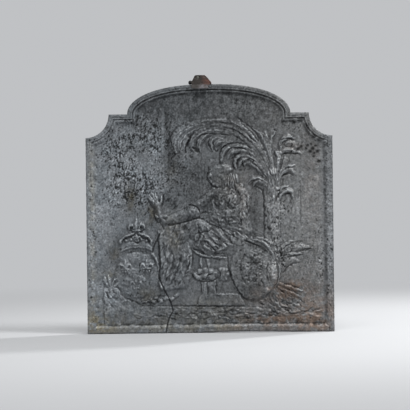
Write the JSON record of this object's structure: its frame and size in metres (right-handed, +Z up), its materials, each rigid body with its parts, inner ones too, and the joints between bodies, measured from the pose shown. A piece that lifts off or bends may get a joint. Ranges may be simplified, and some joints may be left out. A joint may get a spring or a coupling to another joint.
{
  "type": "fireback",
  "caption": "Arched cast-iron fireback with a moulded rim, relief of a seated figure under a palm between two shields, and a forged saddle hook keyed over its top edge.",
  "frame": {"origin": "middle of the bottom edge that stands on the hearth, at half the rim's thickness", "axes": "+X across the plate to the right of someone who faces the relief, -Y out of the relief, +Y out of the flat back, +Z up"},
  "size_m": [0.7, 0.0485, 0.7299],
  "materials": {
    "cast_iron": "old sand-cast iron, graphite-grey patina with pits and rust stains",
    "rusted_iron": "forged iron, dark red-brown rust",
    "dark_iron": "forged iron, near black scale"
  },
  "bodies": {
    "fireback": {"fireback_casting": "cast_iron"},
    "saddle_hook": {"saddle_hook": "rusted_iron"},
    "hook_key": {"hook_key": "dark_iron"},
    "hook_nail": {"hook_nail": "rusted_iron"}
  },
  "joints": [
    {"name": "hook_lift", "type": "slide", "parent": "fireback", "child": "saddle_hook", "axis": [0, 0, 1], "range_m": [0, 0.1]},
    {"name": "key_draw", "type": "slide", "parent": "fireback", "child": "hook_key", "axis": [-1, 0, 0], "range_m": [0, 0.05]},
    {"name": "nail_draw", "type": "slide", "parent": "saddle_hook", "child": "hook_nail", "axis": [0, -1, 0], "range_m": [0, 0.05]}
  ]
}
